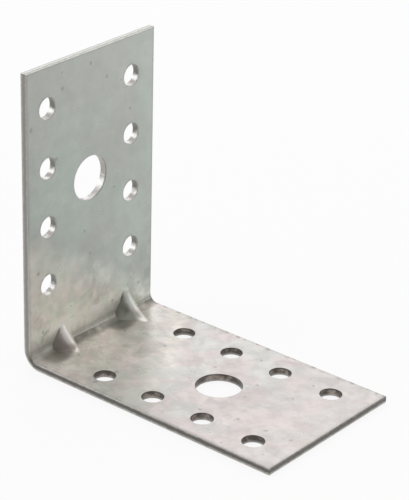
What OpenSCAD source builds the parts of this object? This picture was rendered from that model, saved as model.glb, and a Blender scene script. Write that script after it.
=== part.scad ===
// Angle bracket folded from one strip of galvanised sheet, with nail holes and
// a bolt hole in each leg and two ribs pressed across the fold. The base leg
// lies along +X, the upright stands along +Z and the width runs along Y. The
// origin is on the underside, in the middle of the length and of the width.

/* [Sheet] */
// Outside length of each leg, from the fold's outer face to the leg's end
leg_len = 70; // [66:1:120]
// Width of the strip
width = 41; // [38:1:80]
// Thickness of the sheet
sheet_t = 1.8; // [1.5:0.1:2.5]
// Radius to which the sheared edges of both faces are rounded
edge_roll = 0.35; // [0.1:0.05:0.5]

/* [Fold] */
// Radius inside the fold
fold_inner_r = 2; // [1:0.25:3]
// Radius outside the fold, over which the sheet thins
fold_outer_r = 4.5; // [3:0.25:5]

/* [Holes] */
// How far the holes sit off the middle of the width
hole_shift = -0.5; // [-1:0.25:1]
// Radius that the punch leaves on the rim of each hole
rim_roll = 0.12; // [0.05:0.01:0.3]
// Diameter of the nail holes
nail_d = 5; // [3:0.5:6]
// Number of nail holes in each column of a leg
nail_rows = 4; // [2:1:4]
// Distance between neighbouring rows of nail holes
nail_pitch = 14; // [8:0.5:14]
// Distance between the two columns of nail holes
nail_columns = 27; // [22:1:28]
// Distance from the leg's end to the first row
nail_end = 9.5; // [6:0.5:11]
// Diameter of the bolt hole in each leg
bolt_d = 10.5; // [8:0.5:14]
// Distance from the leg's end to the bolt hole
bolt_end = 30; // [20:0.5:34]

/* [Ribs] */
// Distance between the crests of the two ribs
rib_gap = 21.5; // [18:0.5:23]
// How far the pair of ribs sits off the middle of the width
rib_shift = 0.75; // [-1.5:0.25:1.5]
// How far the straight crest of the near rib would reach along each leg
near_reach = 4.75; // [4.25:0.25:6.5]
// How far the straight crest of the far rib would reach along each leg
far_reach = 5.25; // [4.25:0.25:6.5]
// Angle between each flank and the rib's middle plane
rib_flank = 47; // [40:1:52]
// Radius over which the ends of the near crest run out into the legs
near_runout_r = 2; // [1.5:0.25:4.5]
// Radius over which the ends of the far crest run out into the legs
far_runout_r = 4.5; // [1.5:0.25:4.5]
// Radius at the bottom of the groove behind each rib
groove_r = 0.4; // [0.2:0.1:1]
// Thickness of the sheet where the rib is pressed
rib_wall = 1.6; // [1.2:0.1:2]

/* [Hidden] */
$fn = 64;
zinc = [0.72, 0.73, 0.71];
// Amount by which cutters pass the surfaces that they cut
clear = 0.5;
// Amount by which surfaces that would only touch are sunk into each other
sink = 0.02;
crest_r = groove_r + rib_wall;
// Half the length of a rib's bar, which runs from leg to leg across the corner
rib_half_len = max(near_reach, far_reach) + sheet_t * sqrt(2);
// Room along each leg that takes in a whole ridge
rib_span = 2 * rib_half_len;
// Depth below the inner corner at which a groove is out of the sheet
groove_depth = 2 * sheet_t;

// Square corner minus its circle: what rounding a corner by r takes away
module corner_waste(r) {
    difference() {
        square(r);
        translate([r, r]) circle(r = r);
    }
}

// Side view of both legs and the fold, with a skin taken off both faces
module side_profile(skin) {
    core_t = sheet_t - 2 * skin;
    core_len = leg_len - skin;
    translate([skin, skin])
        difference() {
            union() {
                square([core_len, core_t]);
                square([core_t, core_len]);
                translate([core_t, core_t]) corner_waste(fold_inner_r + skin);
            }
            corner_waste(fold_outer_r - skin);
        }
}

// Stands a side view up and gives it a width, centred on the XZ plane
module across(w) {
    rotate([90, 0, 0]) linear_extrude(w, center = true) children();
}

// Round bar along both legs and the fold, which it turns round at radius bend_r.
// Its centre line lies as deep below the outer face as depth says.
module rim(depth, bend_r) {
    fold_c = depth + bend_r;
    translate([fold_c, 0, depth])
        rotate([0, 90, 0]) cylinder(r = edge_roll, h = leg_len - fold_c);
    translate([depth, 0, fold_c]) cylinder(r = edge_roll, h = leg_len - fold_c);
    translate([fold_c, 0, fold_c])
        rotate([90, 0, 0])
            rotate([0, 0, 180])
                rotate_extrude(angle = 90)
                    translate([bend_r, 0]) circle(r = edge_roll);
}

// The folded strip before punching, with its side edges rounded
module strip() {
    across(width) side_profile(edge_roll);
    across(width - 2 * edge_roll) side_profile(0);
    for (side = [-1, 1])
        translate([0, side * (width / 2 - edge_roll), 0]) {
            rim(edge_roll, fold_outer_r - edge_roll);
            rim(sheet_t - edge_roll, fold_inner_r + edge_roll);
        }
}

// Rounds both edges at the end of the base leg
module end_roll() {
    translate([leg_len, 0, 0])
        across(width + 2 * clear) {
            rotate(90) corner_waste(edge_roll);
            translate([0, sheet_t]) rotate(180) corner_waste(edge_roll);
        }
}

// Punched hole down through the inner face, with its rim drawn in at the top
module punched_hole(d) {
    rotate_extrude() {
        translate([0, -sheet_t - clear]) square([d / 2, sheet_t + 2 * clear]);
        difference() {
            translate([0, -rim_roll]) square([d / 2 + rim_roll, rim_roll + clear]);
            translate([d / 2 + rim_roll, -rim_roll]) circle(r = rim_roll);
        }
    }
}

// Everything that the press cuts from the base leg
module leg_cuts() {
    end_roll();
    translate([leg_len, hole_shift, sheet_t]) {
        translate([-bolt_end, 0, 0]) punched_hole(bolt_d);
        for (row = [0 : nail_rows - 1], side = [-1, 1])
            translate([-nail_end - row * nail_pitch, side * nail_columns / 2, 0])
                punched_hole(nail_d);
    }
}

// Side view of a round bar, half of it, that flares where it meets two faces
// sloping at 45 degrees. face_at is where the bar's top would meet each face.
module flared_bar_profile(r, flare_r, face_at) {
    flare_at = face_at - flare_r * tan(45 / 2) + sink;
    end_at = flare_at + flare_r * sin(45);
    end_r = r + flare_r * (1 - cos(45));
    difference() {
        translate([0, -end_at]) square([end_r, 2 * end_at]);
        translate([r, -flare_at]) square([end_r, 2 * flare_at]);
        for (end = [-1, 1])
            translate([r + flare_r, end * flare_at]) circle(r = flare_r);
    }
}

// Straight flanks that run down from a bar of radius r, whose centre is at
// axis_h, to a line at minus depth
module flank_section(r, axis_h, depth) {
    tangent_r = r - sink;
    shoulder = [tangent_r * cos(rib_flank), axis_h + tangent_r * sin(rib_flank)];
    foot = (tangent_r + (axis_h + depth) * sin(rib_flank)) / cos(rib_flank);
    polygon([[-foot, -depth], [foot, -depth], shoulder, [-shoulder[0], shoulder[1]]]);
}

// Form of one rib, sloping across the inside corner from leg to leg. The crest
// and the groove behind it turn about one line, so reach gives that line's
// height for both. skin is the depth of the faces that the form meets, measured
// from the inner faces.
module rib_form(reach, flare_r, r, skin, depth) {
    axis_h = reach / sqrt(2) - crest_r;
    translate([sheet_t, 0, sheet_t])
        rotate([0, 45, 0])
            rotate([90, 0, 90]) {
                linear_extrude(2 * rib_half_len, center = true) flank_section(r, axis_h, depth);
                translate([0, axis_h, 0])
                    rotate_extrude() flared_bar_profile(r, flare_r, axis_h + r + skin * sqrt(2));
            }
}

// Forms of both ribs, whose run-outs are wider than the crests' by run_on
module rib_forms(r, run_on, skin, depth) {
    translate([0, rib_shift - rib_gap / 2, 0])
        rib_form(near_reach, near_runout_r + run_on, r, skin, depth);
    translate([0, rib_shift + rib_gap / 2, 0])
        rib_form(far_reach, far_runout_r + run_on, r, skin, depth);
}

// The ridges that stand in the inside corner, ending within the sheet
module rib_ridges() {
    intersection() {
        rib_forms(crest_r, 0, 0, 0);
        translate([sheet_t / 2, -width / 2, sheet_t / 2]) cube([rib_span, width, rib_span]);
    }
}

// The grooves that the press leaves behind the ridges, open to the outside
module rib_grooves() {
    rib_forms(groove_r, rib_wall, sheet_t, groove_depth);
}

// The whole bracket, one piece of folded sheet
module angle_bracket() {
    color(zinc)
        translate([-leg_len / 2, 0, 0])
            difference() {
                union() {
                    strip();
                    rib_ridges();
                }
                rib_grooves();
                leg_cuts();
                mirror([1, 0, -1]) leg_cuts();
            }
}

angle_bracket();
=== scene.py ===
import math

import bpy
from mathutils import Matrix, Vector


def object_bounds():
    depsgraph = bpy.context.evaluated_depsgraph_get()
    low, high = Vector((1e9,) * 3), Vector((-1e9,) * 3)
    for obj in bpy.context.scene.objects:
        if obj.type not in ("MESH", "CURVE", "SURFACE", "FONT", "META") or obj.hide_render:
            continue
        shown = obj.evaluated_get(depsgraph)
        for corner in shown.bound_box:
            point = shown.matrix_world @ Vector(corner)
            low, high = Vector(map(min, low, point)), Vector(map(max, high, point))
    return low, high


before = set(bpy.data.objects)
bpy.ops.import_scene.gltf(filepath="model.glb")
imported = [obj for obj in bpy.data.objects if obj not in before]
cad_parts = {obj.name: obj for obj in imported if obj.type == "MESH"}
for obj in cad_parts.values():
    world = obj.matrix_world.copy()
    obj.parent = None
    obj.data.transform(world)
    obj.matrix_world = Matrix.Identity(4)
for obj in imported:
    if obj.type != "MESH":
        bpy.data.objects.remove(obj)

cad_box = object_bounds()

# Sizes of the bracket, in millimetres, as the part's source has them
LEG_LEN = 70
SHEET_T = 1.8
EDGE_ROLL = 0.35
FOLD_OUTER_R = 4.5
RIB_GAP = 21.5
RIB_SHIFT = 0.75
RIB_YS = (RIB_SHIFT - RIB_GAP / 2, RIB_SHIFT + RIB_GAP / 2)
HOLE_SHIFT = -0.5
NAIL_R = 2.5
NAIL_PITCH = 14
NAIL_COLUMNS = 27
NAIL_END = 9.5
BOLT_END = 30
# Beyond the ribs and the fold, where each leg's holes begin
BEND_END = 11

MM = 0.001
BACK_X = cad_box[0][0] / MM
HALF_WIDTH = cad_box[1][1] / MM

# Where the photograph was taken from
VIEW_AZIMUTH = math.radians(39.32)
VIEW_ELEVATION = math.radians(25.71)
VIEW_ROLL = math.radians(1.45)
VIEW_AIM = Vector((-0.47, 0, 32.78)) * MM
VIEW_DISTANCE = 470.4 * MM
SENSOR = 36
LENS = 157.8

# The room, with its sizes in metres
ROOM_RADIANCE = 0.3
FLOOR_SIZE = 6
FLOOR_DROP = 0.02 * MM
# Share of plain white in the floor that the camera, metal and glass see
FLOOR_WHITE = 0.88
# Soft lamps: name, place, aim, width and height, and radiance
SOFTBOXES = (
    ("back_softbox", (-0.15, 0.8, 0.6), (0, 0, 0.03), (2.0, 1.0), 1.05),
    ("top_softbox", (-0.35, -0.2, 1.3), (0, 0, 0), (2.2, 2.2), 0.85),
    ("left_softbox", (-0.6, -0.75, 0.5), (0, 0, 0.04), (0.6, 0.6), 1.4),
)

# Finish of the zinc, with its relief and crystals in millimetres
METAL_SHARE = 0.55
LEAST_ROUGHNESS = 0.22
ROUGHNESS_SPREAD = 0.16
RIB_AND_FOLD_ROUGHNESS = 0.25
GRAIN_HEIGHT = 0.012
WAVE_HEIGHT = 0.12
CRYSTAL_SIZE = 3.2
CRYSTAL_SMOOTHNESS = 0.25
CRYSTAL_WOBBLE = 2

# A surface faces an axis above the first share of its normal, and lies along it
# below the second
FACING = 0.6
ALONGSIDE = 0.5
# Room that the masks keep from the sheet's edges, in millimetres
EDGE_ROOM = 1

# The marks on the sheet, in millimetres. A pair gives where a mark starts and
# where it is full. Depths are measured from the outer face.
TORN_DEPTHS = (0.0, 0.5)
BURNISHED_DEPTHS = (0.45, 0.9)
INNER_LIP_DEPTHS = (1.3, 1.8)
HOLE_LIP_DEPTHS = (SHEET_T - 0.5, SHEET_T - 0.2)
HOLE_FOOT_DEPTHS = (0.7, 0.1)
TOP_LINE_DEPTHS = (0.55, 0.3)
# Chips by the base's far side, and painted shade along every edge of it
FAR_RIM = (HALF_WIDTH - 1.6, HALF_WIDTH - 0.2)
EDGE_SHADE_RIM = (0.9, 0.2)
# Distances from a nail hole's middle, within which the dark crescent beside it lies
CRESCENT_RING = (NAIL_R + 0.8, NAIL_R + 0.1)
# Height of the thin painted highlight line in the fold, where the painted shade below it ends
FOLD_HIGHLIGHT_HEIGHT = 2.75
# Painted reflections by the fold, on the upright and the base, which end along sloping lines
UPRIGHT_REFLECTION_SLOPE = 1.6
UPRIGHT_REFLECTION_REACH = (36, 14)
UPRIGHT_REFLECTION_RAGGED = 16
BASE_REFLECTION_SLOPE = 1.23
BASE_REFLECTION_REACH = (34, 16)
# Painted pale reflection band that slants across the base
REFLECTION_BAND_SLOPE = 0.706
REFLECTION_BAND_AT = 25
REFLECTION_BAND_HALF_WIDTHS = (3.5, 0.5)
# Painted shadows and reflections of the ribs: dark ovals on the base, as far from its back as from
# the ribs
SHADOW_OFF = 4.8
SHADOW_HALF_LENGTH = 3.0
SHADOW_HALF_WIDTH = 3.8
# Specks: their spacing, and their radii and what is left out as shares
SPECK_PITCH = 8
SPECK_LEAST_R = 0.032
SPECK_SPREAD_R = 0.04
SPECK_GAPS = 0.55

# Directions which hole walls face where painted light falls on them, on the axes X and Y of the base
# and Z and Y of the upright, and towards which the dark crescents by the nail holes lie, on Z and Y
BASE_GLOW = (0.63, -0.77)
UPRIGHT_GLINT = (0.53, -0.85)
CRESCENT_SIDE = (0.8, -0.6)

# Colours, as linear red, green and blue
ZINC_GREY = (0.465, 0.49, 0.45)
ZINC_GREEN = (0.475, 0.53, 0.485)
ZINC_PALE = (0.59, 0.58, 0.555)
ZINC_PINK = (0.61, 0.55, 0.535)
# Painted reflections by the fold on the base and the upright, and a pale painted reflection band
# across the base
BASE_REFLECTION_STRAW = (0.78, 0.75, 0.67)
BASE_REFLECTION_ROSE = (0.86, 0.77, 0.72)
BASE_REFLECTION_CREAM = (0.75, 0.72, 0.65)
UPRIGHT_REFLECTION_STRAW = (0.87, 0.90, 0.79)
UPRIGHT_REFLECTION_ROSE = (0.95, 0.91, 0.84)
ZINC_SMEAR = (0.72, 0.72, 0.69)
# Grime, also used for painted shade in the fold, beside the ribs and along the edges
GRIME_AND_SHADE = (0.22, 0.22, 0.18)
# Painted shade on the ribs' flanks
SHADED_FLANK_BROWN = (0.24, 0.20, 0.175)
SHADED_FLANK_OLIVE = (0.185, 0.19, 0.15)
SHADED_FLANK_ROSE = (0.42, 0.36, 0.33)
SHADED_FLANK_GREY = (0.46, 0.47, 0.42)
# Painted highlights on the ribs' crests and in the fold
HIGHLIGHT_PINK = (0.84, 0.78, 0.75)
HIGHLIGHT_PALE = (0.78, 0.79, 0.75)
# Painted shade in the fold
FOLD_DARK = (0.16, 0.155, 0.12)
# Painted dark reflection on the burnished band of the sheared edges
BURNISHED_DARK_REFLECTION = (0.13, 0.12, 0.11)
TORN_STEEL = (0.42, 0.40, 0.37)
TOP_EDGE = (0.62, 0.62, 0.58)
# Hole walls, mostly in painted shade and painted light
HOLE_DARK = (0.09, 0.075, 0.065)
HOLE_BROWN = (0.40, 0.34, 0.30)
HOLE_PALE = (0.55, 0.53, 0.50)
HOLE_SHADE = (0.21, 0.21, 0.19)
HOLE_GREY = (0.44, 0.41, 0.38)
HOLE_HIGHLIGHT = (0.85, 0.85, 0.83)
FLOOR_COLOUR = (0.85, 0.85, 0.85)
WHITE = (1, 1, 1)


class Tree:
    """Short calls that add shader nodes and join them."""

    def __init__(self, owner):
        owner.use_nodes = True
        self.nodes = owner.node_tree.nodes
        self.links = owner.node_tree.links
        self.nodes.clear()

    def feed(self, socket, value):
        """Sets a socket to a number or colour, or joins it to another socket."""
        if isinstance(value, bpy.types.NodeSocket):
            self.links.new(value, socket)
        elif socket.type == "RGBA":
            socket.default_value = (*value, 1)
        else:
            socket.default_value = value

    def add(self, kind, inputs=(), **settings):
        """New node with its settings and inputs."""
        node = self.nodes.new("ShaderNode" + kind)
        for name, value in settings.items():
            setattr(node, name, value)
        for name, value in dict(inputs).items():
            self.feed(node.inputs[name], value)
        return node

    def math(self, operation, *values):
        """Result of one sum."""
        return self.add("Math", enumerate(values), operation=operation).outputs[0]

    def chain(self, operation, values):
        """One operation over all values, from left to right."""
        result = values[0]
        for value in values[1:]:
            result = self.math(operation, result, value)
        return result

    def product(self, *factors):
        """All factors multiplied."""
        return self.chain("MULTIPLY", factors)

    def add_up(self, *terms):
        """All terms added."""
        return self.chain("ADD", terms)

    def most(self, *values):
        """The largest value."""
        return self.chain("MAXIMUM", values)

    def minus(self, value, less):
        """value less another."""
        return self.math("SUBTRACT", value, less)

    def rest(self, share):
        """What a share leaves of 1."""
        return self.minus(1, share)

    def size(self, value):
        """The value without its sign."""
        return self.math("ABSOLUTE", value)

    def gap(self, value, other):
        """Distance between two values."""
        return self.size(self.minus(value, other))

    def squares(self, first, second):
        """Sum of two squares."""
        return self.add_up(self.product(first, first), self.product(second, second))

    def towards(self, direction, first, second):
        """How far a pair of measures points in a direction."""
        return self.add_up(self.product(first, direction[0]), self.product(second, direction[1]))

    def above(self, value, limit):
        """1 where the value is above the limit, and 0 elsewhere."""
        return self.math("GREATER_THAN", value, limit)

    def below(self, value, limit):
        """1 where the value is below the limit, and 0 elsewhere."""
        return self.math("LESS_THAN", value, limit)

    def rise(self, value, low, high):
        """0 up to low, 1 from high on, and a smooth rise between; low may be above high."""
        return self.add("MapRange", {"Value": value, "From Min": low, "From Max": high},
                        interpolation_type="SMOOTHSTEP").outputs["Result"]

    def band(self, value, centre, start, full):
        """1 within full of a centre, and 0 further from it than start."""
        return self.rise(self.gap(value, centre), start, full)

    def noise(self, place, grain, detail, distortion=0.0):
        """Noise around 0.5 whose patches are about grain across."""
        inputs = {"Vector": place, "Scale": 1 / grain, "Detail": detail, "Distortion": distortion}
        return self.add("TexNoise", inputs).outputs[0]

    def swing(self, place, grain, detail, distortion=0.0):
        """Noise around 0."""
        return self.minus(self.noise(place, grain, detail, distortion), 0.5)

    def patches(self, place, grain, detail, low=0.4, high=0.6):
        """Noise spread to soft patches of 0 and 1."""
        return self.rise(self.noise(place, grain, detail), low, high)

    def scaled(self, vector, factor):
        """A vector or colour times a number."""
        return self.add("VectorMath", {0: vector, "Scale": factor}, operation="SCALE").outputs[0]

    def blend(self, share, first, second):
        """Colour that goes from first to second as share goes from 0 to 1."""
        node = self.add("Mix", data_type="RGBA")
        self.feed(node.inputs[0], share)
        self.feed(node.inputs[6], first)
        self.feed(node.inputs[7], second)
        return node.outputs[2]

    def surface(self, shader, kind="Material"):
        """Makes a shader the output."""
        self.add("Output" + kind, {"Surface": shader})


def view_axes():
    """Right, up and forward directions of the photograph's camera."""
    flat_right = Vector((math.cos(VIEW_AZIMUTH), math.sin(VIEW_AZIMUTH), 0))
    forward = Vector((-math.sin(VIEW_AZIMUTH) * math.cos(VIEW_ELEVATION),
                      math.cos(VIEW_AZIMUTH) * math.cos(VIEW_ELEVATION),
                      -math.sin(VIEW_ELEVATION)))
    flat_up = flat_right.cross(forward)
    right = flat_right * math.cos(VIEW_ROLL) + flat_up * math.sin(VIEW_ROLL)
    up = flat_up * math.cos(VIEW_ROLL) - flat_right * math.sin(VIEW_ROLL)
    return right, up, forward


def add_camera():
    """Camera at the photograph's angle, with its long lens."""
    right, up, forward = view_axes()
    data = bpy.data.cameras.new("camera")
    data.sensor_width = SENSOR
    data.lens = LENS
    data.clip_start = 10 * MM
    camera = bpy.data.objects.new("camera", data)
    turn = Matrix((right, up, -forward)).transposed().to_4x4()
    camera.matrix_world = Matrix.Translation(VIEW_AIM - forward * VIEW_DISTANCE) @ turn
    bpy.context.scene.collection.objects.link(camera)
    bpy.context.scene.camera = camera


def add_softbox(name, place, aim, size, radiance):
    """Soft rectangular lamp at a place, turned to face a point."""
    data = bpy.data.lights.new(name, "AREA")
    data.shape = "RECTANGLE"
    data.size, data.size_y = size
    data.energy = radiance * math.pi * size[0] * size[1]
    lamp = bpy.data.objects.new(name, data)
    lamp.location = place
    lamp.rotation_euler = (Vector(aim) - Vector(place)).to_track_quat("-Z", "Y").to_euler()
    bpy.context.scene.collection.objects.link(lamp)


def seen_share(tree, share):
    """share for rays from the camera, off metal and through glass, 0 for the rest."""
    path = tree.add("LightPath")
    seen = tree.most(path.outputs["Is Camera Ray"], path.outputs["Is Glossy Ray"],
                     path.outputs["Is Transmission Ray"])
    return tree.product(seen, share)


def floor_material():
    """Pale floor that looks white, but for the bracket's shadow."""
    material = bpy.data.materials.new("floor_pale")
    tree = Tree(material)
    matt = tree.add("BsdfDiffuse", {"Color": FLOOR_COLOUR})
    glow = tree.add("Emission", {"Color": WHITE, "Strength": 1})
    tree.surface(tree.add("MixShader", [(0, seen_share(tree, FLOOR_WHITE)), (1, matt.outputs[0]),
                                        (2, glow.outputs[0])]).outputs[0])
    return material


def add_floor():
    """Wide pale floor just under the bracket."""
    bpy.ops.mesh.primitive_plane_add(size=FLOOR_SIZE, location=(0, 0, -FLOOR_DROP))
    floor = bpy.context.active_object
    floor.name = "floor"
    floor.data.materials.append(floor_material())


def set_world():
    """Even pale surroundings, white to the camera."""
    world = bpy.data.worlds.new("studio")
    tree = Tree(world)
    room = tree.add("Background", {"Color": WHITE, "Strength": ROOM_RADIANCE})
    white = tree.add("Background", {"Color": WHITE, "Strength": 1})
    camera_ray = tree.add("LightPath").outputs["Is Camera Ray"]
    tree.surface(tree.add("MixShader", [(0, camera_ray), (1, room.outputs[0]),
                                        (2, white.outputs[0])]).outputs[0], "World")
    bpy.context.scene.world = world


# The colours below are laid out in the bracket's own frame, in millimetres: along
# from the fold to the base's tip, up the upright, across the width, and slide,
# which is up less along. The tints by the fold are painted reflections of what the
# legs mirror, and many other marks below are painted light and shade.


def upright_zinc(tree, place, spot, stain):
    """Cool and even, with a warm painted reflection at its foot by the fold."""
    colour = tree.blend(tree.patches(place, 15, 1, 0.35, 0.65), ZINC_GREY, ZINC_GREEN)
    colour = tree.blend(tree.product(tree.rise(spot["up"], 40, 68), 0.35), colour, ZINC_PALE)
    # Painted reflection: the upright's foot by the fold is tinted lighter and warmer
    reach = tree.add_up(tree.product(spot["up"], UPRIGHT_REFLECTION_SLOPE), spot["across"])
    ragged = tree.add_up(reach, tree.product(tree.swing(place, 5, 3), UPRIGHT_REFLECTION_RAGGED))
    foot = tree.product(tree.rise(ragged, *UPRIGHT_REFLECTION_REACH), spot["inner"])
    return tree.blend(foot, colour, tree.blend(stain, UPRIGHT_REFLECTION_STRAW, UPRIGHT_REFLECTION_ROSE))


def base_zinc(tree, place, spot, stain):
    """Warm and mottled, with a painted reflection by the fold and a painted pale reflection band
    slanting across.
    """
    pink = tree.rise(tree.noise(place, 8, 2, 0.2), 0.42, 0.58)
    pink = tree.most(pink, tree.product(tree.rise(spot["along"], 42, 58), 0.5))
    colour = tree.blend(pink, ZINC_PALE, ZINC_PINK)
    # Painted reflection of the upright in the base by the fold, weaker towards the near side
    reach = tree.add_up(tree.product(spot["along"], BASE_REFLECTION_SLOPE), spot["across"])
    strength = tree.minus(0.75, tree.product(tree.rise(spot["across"], -10, -18), 0.37))
    bend_reflection = tree.product(tree.rise(reach, *BASE_REFLECTION_REACH), strength, spot["inner"])
    colour = tree.blend(bend_reflection, colour, tree.blend(stain, BASE_REFLECTION_STRAW, BASE_REFLECTION_ROSE))
    # Painted pale reflection band slanting across the base
    slant = tree.add_up(spot["along"], tree.product(spot["across"], REFLECTION_BAND_SLOPE))
    band = tree.product(tree.band(slant, REFLECTION_BAND_AT, *REFLECTION_BAND_HALF_WIDTHS),
                        tree.rise(spot["across"], -10, 2), spot["inner"], 0.55)
    return tree.blend(band, colour, BASE_REFLECTION_CREAM)


def zinc_colour(tree, place, spot):
    """Rolled faces of both legs."""
    stain = tree.rise(tree.noise(place, 4, 3, 0.2), 0.4, 0.6)
    return tree.blend(tree.rise(spot["slide"], -1, 1), base_zinc(tree, place, spot, stain),
                      upright_zinc(tree, place, spot, stain))


def spangle(tree, place):
    """Light and dark blotches around 0, with the soft facets of the zinc's crystals."""
    wobble = tree.add("TexNoise", {"Vector": place, "Scale": 0.25, "Detail": 1}).outputs["Color"]
    bent = tree.add("VectorMath", {0: place, 1: tree.scaled(wobble, CRYSTAL_WOBBLE)}).outputs[0]
    crystals = tree.add("TexVoronoi", {"Vector": bent, "Scale": 1 / CRYSTAL_SIZE},
                        feature="SMOOTH_F1")
    crystals.inputs["Smoothness"].default_value = CRYSTAL_SMOOTHNESS
    facet = tree.minus(tree.add("SeparateColor", {0: crystals.outputs["Color"]}).outputs[0], 0.5)
    patch = tree.minus(tree.patches(place, 2.8, 3, 0.44, 0.56), 0.5)
    return tree.add_up(tree.product(tree.swing(place, 3.0, 3, 0.2), 0.4),
                       tree.product(tree.swing(place, 0.8, 3), 0.2),
                       tree.product(patch, 0.13), tree.product(facet, 0.2))


def brightness(tree, place, spot):
    """Spangle, which fades towards the upright's top, and weak painted light and shade by place."""
    depth = tree.add_up(0.25, tree.product(tree.rise(spot["up"], 26, 2), 0.6))
    depth = tree.minus(depth, tree.product(tree.rise(spot["along"], 8, 35), 0.28))
    # Painted light and shade by place: the upright lighter towards its far side and darker towards
    # its near side, lighter just above the fold and darker low by its near edge; the base lighter on
    # its back part towards the far side
    far_side = tree.product(spot["across"], 0.0035, tree.rise(spot["up"], 8, 25))
    base_middle = tree.product(tree.rise(spot["across"], -8, 2), tree.rise(spot["along"], 48, 30),
                               0.04, tree.rise(spot["slide"], 0, -6))
    above_fold = tree.product(tree.band(spot["up"], 6.5, 3, 1),
                              tree.rise(spot["across"], 14, 6), 0.12)
    near_foot = tree.product(tree.rise(spot["across"], -12, -18), tree.rise(spot["up"], 28, 18),
                             tree.rise(spot["slide"], -2, 2), -0.11)
    total = tree.add_up(1, tree.product(spangle(tree, place), depth))
    for shade in (far_side, base_middle, above_fold, near_foot):
        total = tree.add_up(total, tree.product(shade, spot["inner"]))
    return total


def wisps(tree, place, spot):
    """Share of grime in thin winding lines near the fold."""
    lines = tree.size(tree.swing(place, 8, 2, 1.2))
    return tree.product(tree.rise(lines, 0.06, 0.01), tree.patches(place, 6, 1, 0.48, 0.62),
                        tree.rise(spot["up"], 26, 8), 0.14)


def specks(tree, place, spot):
    """Share of grime in small crooked dots, some of them left out."""
    flat = tree.add("CombineXYZ", {"X": spot["across"], "Y": spot["slide"]}).outputs[0]
    cells = tree.add("TexVoronoi", {"Vector": flat, "Scale": 1 / SPECK_PITCH},
                     voronoi_dimensions="2D")
    dice = tree.add("SeparateColor", {0: cells.outputs["Color"]}).outputs
    radius = tree.add_up(SPECK_LEAST_R, tree.product(dice[1], SPECK_SPREAD_R))
    crooked = tree.product(tree.swing(place, 0.9, 2), 0.12)
    dot = tree.math("DIVIDE", tree.add_up(cells.outputs["Distance"], crooked), radius)
    return tree.product(tree.rise(dot, 1.3, 0.5), tree.above(dice[0], SPECK_GAPS), 0.45)


def rib_shadow(tree, spot, rib_y):
    """1 in an oval on the base beside a rib, on its near side, where the rib's painted shadow and
    reflection go.
    """
    off_x = tree.math("DIVIDE", tree.minus(spot["along"], SHADOW_OFF), SHADOW_HALF_LENGTH)
    off_y = tree.math("DIVIDE", tree.minus(spot["across"], rib_y - SHADOW_OFF), SHADOW_HALF_WIDTH)
    return tree.rise(tree.squares(off_x, off_y), 1.3, 0.2)


def sheet_marks(tree, place, spot):
    """Share of grime and painted shade on the faces: wisps, specks, chips, painted shade along the
    edges, and the ribs' painted shadows.
    """
    on_base = tree.product(tree.below(spot["up"], SHEET_T + 0.5), spot["inner"])
    chips = tree.product(tree.rise(spot["across"], *FAR_RIM),
                         tree.patches(place, 1.8, 3, 0.48, 0.6), on_base, 0.8)
    # Painted shade that darkens the faces towards the side edges and the base's tip
    to_edge = tree.math("MINIMUM", tree.minus(HALF_WIDTH, spot["side"]),
                        tree.minus(LEG_LEN, spot["along"]))
    edge_shade = tree.product(tree.rise(to_edge, *EDGE_SHADE_RIM), 0.25)
    total = tree.most(wisps(tree, place, spot), specks(tree, place, spot), chips, edge_shade)
    # Painted shadow and reflection of each rib on the base
    for rib_y in RIB_YS:
        shadow = tree.product(rib_shadow(tree, spot, rib_y), on_base, 0.75)
        total = tree.most(total, shadow)
    return total


def nail_hole_crescents(tree, place, spot):
    """Share of a dark crescent beside each of the upright's nail holes, on one side of it."""
    row_off = tree.math("WRAP", tree.minus(spot["up"], LEG_LEN - NAIL_END),
                        NAIL_PITCH / 2, -NAIL_PITCH / 2)
    from_middle = tree.minus(spot["across"], HOLE_SHIFT)
    column = tree.product(tree.math("SIGN", from_middle), NAIL_COLUMNS / 2)
    column_off = tree.minus(from_middle, column)
    away = tree.math("SQRT", tree.squares(row_off, column_off))
    to_side = tree.towards(CRESCENT_SIDE, row_off, column_off)
    return tree.product(tree.rise(away, *CRESCENT_RING), tree.rise(to_side, 1.4, 2.6),
                        tree.patches(place, 1.5, 2, 0.35, 0.6), tree.rise(spot["slide"], 0, 5),
                        spot["inner"], 0.5)


def fold_colour(tree, colour, place, spot):
    """Colour with painted shade on the fold, dark on its lower half and light on its upper one, and a
    thin painted highlight line between; and the lower half's share.
    """
    # Painted shade in the crease of the fold, deepest between the ribs, weaker on its upper half
    lower = tree.product(spot["inner"], tree.rise(spot["along"], 5.2, 2.9),
                         tree.rise(spot["up"], FOLD_HIGHLIGHT_HEIGHT, FOLD_HIGHLIGHT_HEIGHT - 0.3))
    upper = tree.product(spot["inner"], tree.rise(spot["up"], 4.4, 3.0),
                         tree.rise(spot["along"], 3.0, 2.3))
    past_middle = tree.product(tree.rise(spot["across"], -2, 8), 0.7)
    between_ribs = tree.product(tree.rise(spot["across"], -16, -12), tree.rest(past_middle))
    deep = tree.add_up(0.3, tree.product(between_ribs, 0.55),
                       tree.product(tree.rise(spot["across"], 13, 15), 0.25))
    patchy = tree.add_up(0.5, tree.product(tree.patches(place, 2.5, 3, 0.3, 0.6), 0.5))
    colour = tree.blend(tree.product(upper, 0.4), colour, GRIME_AND_SHADE)
    colour = tree.blend(tree.product(lower, deep, patchy), colour, FOLD_DARK)
    # Thin painted highlight along the fold
    line = tree.product(spot["inner"], tree.band(spot["up"], FOLD_HIGHLIGHT_HEIGHT, 0.25, 0.05),
                        tree.below(spot["along"], 2.8), tree.rise(spot["across"], -5, -1),
                        tree.patches(place, 0.9, 2))
    return tree.blend(tree.product(line, 0.6), colour, HIGHLIGHT_PALE), lower


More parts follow.
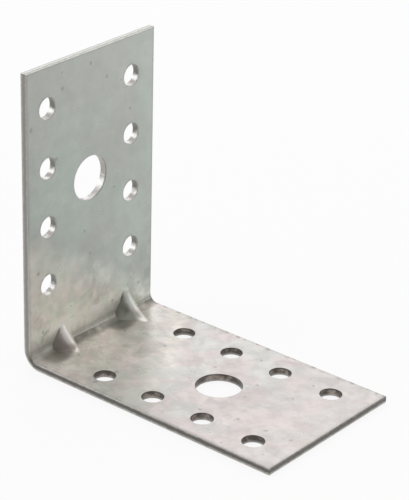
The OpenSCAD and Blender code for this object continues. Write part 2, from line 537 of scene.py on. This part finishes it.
def rib_colour(tree, colour, place, spot, normal):
    """Colour with painted shade on the ribs' near flanks and feet and painted highlights on their
    crests, and the share that is rib.
    """
    corner = tree.product(tree.below(spot["along"], BEND_END), tree.below(spot["up"], BEND_END),
                          tree.below(spot["side"], HALF_WIDTH - EDGE_ROOM))
    blur = tree.swing(place, 1.6, 3)
    far = tree.above(spot["across"], RIB_SHIFT)
    height = tree.add_up(spot["slide"], tree.product(blur, 5))

    # Painted shade on the flanks that face the near side, and at the ribs' feet
    near_face = tree.product(corner, tree.rise(normal["Y"], -0.2, -0.6),
                             tree.rise(spot["lift"], -0.1, 0.05))
    foot = tree.product(corner, tree.rise(spot["lift"], 0.3, 0.8), tree.rise(spot["slide"], -0.5, -3),
                        tree.rise(tree.size(spot["rib_off"]), 2.0, 1.4),
                        tree.rise(spot["rib_off"], 0.9, 0.3))
    flank_shade = tree.most(near_face, tree.product(foot, 0.8))
    upper = tree.rise(tree.minus(height, tree.product(far, 1.5)), -4.0, -0.5)
    shades = tree.blend(upper, tree.blend(far, SHADED_FLANK_ROSE, SHADED_FLANK_GREY),
                        tree.blend(far, SHADED_FLANK_BROWN, SHADED_FLANK_OLIVE))
    colour = tree.blend(tree.product(flank_shade, 0.9), colour, shades)

    # Painted highlights along the ribs' crests
    off_crest = tree.add_up(tree.size(spot["rib_off"]), blur)
    broad = tree.product(tree.rise(off_crest, 2.0, 0.5), tree.rise(height, -2.5, 0.5), 0.8)
    thin = tree.product(tree.band(spot["rib_off"], 1.0, 0.5, 0.15), tree.patches(place, 0.8, 2), 0.8)
    crest_highlight = tree.product(corner, tree.rise(spot["lift"], 0.1, 0.5), tree.most(broad, thin))
    colour = tree.blend(crest_highlight, colour, tree.blend(far, HIGHLIGHT_PINK, HIGHLIGHT_PALE))
    return colour, tree.most(flank_shade, crest_highlight)


def sheet_depth(tree, spot):
    """Depth below the outer face, also round the fold."""
    out_x = tree.most(tree.minus(FOLD_OUTER_R, spot["along"]), 0)
    out_z = tree.most(tree.minus(FOLD_OUTER_R, spot["up"]), 0)
    return tree.minus(FOLD_OUTER_R, tree.math("SQRT", tree.squares(out_x, out_z)))


def edge_colour(tree, place, spot):
    """Sheared edges: a burnished band by the inner face, in painted dark reflection and half as dark
    on the upright, and torn paler towards the outer one.
    """
    level = tree.add_up(sheet_depth(tree, spot), tree.product(tree.swing(place, 1.2, 2), 0.5))
    torn = tree.blend(tree.rise(level, *TORN_DEPTHS), ZINC_SMEAR, TORN_STEEL)
    on_upright = tree.product(tree.rise(spot["slide"], -2, 4), 0.5)
    burnished = tree.product(tree.rise(level, *BURNISHED_DEPTHS), tree.rest(on_upright))
    colour = tree.blend(burnished, torn, BURNISHED_DARK_REFLECTION)
    inner_lip = tree.product(tree.rise(level, *INNER_LIP_DEPTHS), 0.45)
    return tree.blend(inner_lip, colour, ZINC_SMEAR)


def top_colour(tree, place, spot):
    """Top edge of the upright: pale, with a rough dark line in front and a plain one behind."""
    level = tree.add_up(spot["along"], tree.product(tree.swing(place, 1.5, 3), 0.8))
    front = tree.product(tree.band(level, SHEET_T - 0.5, 0.4, 0.1), 0.6)
    patchy = tree.add_up(0.75, tree.product(tree.patches(place, 5, 1, 0.4, 0.55), 0.25))
    back = tree.product(tree.rise(spot["along"], *TOP_LINE_DEPTHS), patchy)
    return tree.blend(tree.most(front, back), TOP_EDGE, HOLE_SHADE)


def base_hole_colour(tree, place, spot, normal):
    """Walls of the base's holes in mottled painted shade, with painted light where they face
    BASE_GLOW, darker at the inner face and paler at the outer face.
    """
    light = tree.add_up(tree.product(tree.swing(place, 1.7, 2), 3.0),
                        tree.towards(BASE_GLOW, normal["X"], normal["Y"]))
    lip = tree.product(tree.rise(spot["up"], *HOLE_LIP_DEPTHS), 0.7)
    foot = tree.product(tree.rise(spot["up"], *HOLE_FOOT_DEPTHS), 0.6)
    colour = tree.blend(tree.rise(light, 0.6, 1.6), HOLE_DARK, HOLE_BROWN)
    return tree.blend(foot, tree.blend(lip, colour, HOLE_DARK), HOLE_PALE)


def upright_hole_colour(tree, place, spot, normal):
    """Grey walls of the upright's holes in painted shade, darker where they face down, with a painted
    glint low down, painted light where they face up, and a painted dark line at the bolt hole's lip
    and a pale one at the nail holes'.
    """
    blur = tree.swing(place, 1.2, 3)
    light = tree.add_up(tree.towards(UPRIGHT_GLINT, normal["Z"], normal["Y"]),
                        tree.product(blur, 0.2))
    glint = tree.product(tree.rise(light, 0.92, 1.01),
                         tree.rise(spot["along"], SHEET_T, SHEET_T - 0.6))
    bottom = tree.rise(tree.add_up(normal["Z"], tree.product(blur, 0.4)), 0.92, 1.06)
    grey = tree.blend(tree.rise(tree.add_up(normal["Z"], blur), 0.0, 0.5), HOLE_SHADE, HOLE_GREY)
    from_bolt = tree.add_up(tree.gap(spot["up"], LEG_LEN - BOLT_END),
                            tree.gap(spot["across"], HOLE_SHIFT))
    on_bolt = tree.rise(from_bolt, 9, 8)
    grey = tree.blend(tree.product(on_bolt, 0.65), grey, HOLE_PALE)
    colour = tree.blend(tree.most(glint, bottom), grey, HOLE_HIGHLIGHT)
    lip = tree.rise(tree.add_up(spot["along"], tree.product(blur, 0.8)), *HOLE_LIP_DEPTHS)
    return tree.blend(tree.product(lip, 0.7), colour, tree.blend(on_bolt, HOLE_PALE, HOLE_SHADE))


def hole_wall(tree, spot, distance, off_leg):
    """1 on the walls of one leg's holes, which off_leg tells from the leg's faces."""
    return tree.product(tree.below(spot["side"], HALF_WIDTH - EDGE_ROOM),
                        tree.above(distance, BEND_END), tree.below(distance, LEG_LEN - EDGE_ROOM),
                        tree.below(tree.size(off_leg), ALONGSIDE))


def paint_edges(tree, colour, place, spot, normal):
    """Colour with the sheared side and tip edges and the upright's top edge."""
    side = tree.product(tree.above(spot["side"], HALF_WIDTH - EDGE_ROLL - 0.05),
                        tree.above(tree.size(normal["Y"]), FACING))
    tip = tree.product(tree.above(spot["along"], LEG_LEN - EDGE_ROLL),
                       tree.above(normal["X"], FACING))
    top = tree.product(tree.above(spot["up"], LEG_LEN - EDGE_ROLL),
                       tree.above(normal["Z"], FACING))
    colour = tree.blend(tree.most(side, tip), colour, edge_colour(tree, place, spot))
    return tree.blend(top, colour, top_colour(tree, place, spot))


def paint_holes(tree, colour, place, spot, normal):
    """Colour with the walls of the holes in both legs."""
    in_base = hole_wall(tree, spot, spot["along"], normal["Z"])
    in_upright = hole_wall(tree, spot, spot["up"], normal["X"])
    colour = tree.blend(in_base, colour, base_hole_colour(tree, place, spot, normal))
    return tree.blend(in_upright, colour, upright_hole_colour(tree, place, spot, normal))


def find_spot(tree, place):
    """Where a point of the bracket lies: the measures that the colours go by."""
    parts = tree.add("SeparateXYZ", {0: place}).outputs
    along = tree.minus(parts["X"], BACK_X)
    off_middle = tree.minus(parts["Y"], RIB_SHIFT)
    to_rib = tree.product(tree.math("SIGN", off_middle), RIB_GAP / 2)
    lift = tree.minus(tree.math("MINIMUM", along, parts["Z"]), SHEET_T)
    return {
        "along": along,
        "across": parts["Y"],
        "up": parts["Z"],
        "side": tree.size(parts["Y"]),
        "slide": tree.minus(parts["Z"], along),
        "lift": lift,
        "inner": tree.rise(lift, -0.3, 0),
        "rib_off": tree.minus(off_middle, to_rib),
    }


def galvanised_material():
    """Dull galvanised sheet with bare sheared edges, and with painted light and shade laid on its
    colour.
    """
    material = bpy.data.materials.new("galvanised_sheet")
    tree = Tree(material)
    place = tree.scaled(tree.add("TexCoord").outputs["Object"], 1 / MM)
    normal = tree.add("SeparateXYZ", {0: tree.add("NewGeometry").outputs["True Normal"]}).outputs
    spot = find_spot(tree, place)

    zinc = tree.scaled(zinc_colour(tree, place, spot), brightness(tree, place, spot))
    colour = tree.blend(sheet_marks(tree, place, spot), zinc, GRIME_AND_SHADE)
    colour = tree.blend(nail_hole_crescents(tree, place, spot), colour, GRIME_AND_SHADE)
    colour, fold = fold_colour(tree, colour, place, spot)
    colour, rib = rib_colour(tree, colour, place, spot, normal)
    colour = paint_edges(tree, colour, place, spot, normal)
    colour = paint_holes(tree, colour, place, spot, normal)

    relief = tree.add_up(tree.product(tree.noise(place, 0.6, 3), GRAIN_HEIGHT),
                         tree.product(tree.noise(place, 11, 1), WAVE_HEIGHT))
    bump = tree.add("Bump", {"Height": relief, "Distance": MM, "Strength": 1})
    roughness = tree.add_up(LEAST_ROUGHNESS,
                            tree.product(tree.noise(place, 4, 3), ROUGHNESS_SPREAD),
                            tree.product(tree.most(fold, rib), RIB_AND_FOLD_ROUGHNESS))
    metal = tree.add("BsdfPrincipled", {"Base Color": colour, "Metallic": METAL_SHARE,
                                        "Roughness": roughness, "Normal": bump.outputs[0]})
    tree.surface(metal.outputs[0])
    return material


def dress(node, material):
    """Gives a node its material."""
    node.data.materials.clear()
    node.data.materials.append(material)


add_camera()
add_floor()
set_world()
for softbox in SOFTBOXES:
    add_softbox(*softbox)
dress(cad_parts["angle_bracket"], galvanised_material())
bpy.context.scene.view_settings.view_transform = "Standard"
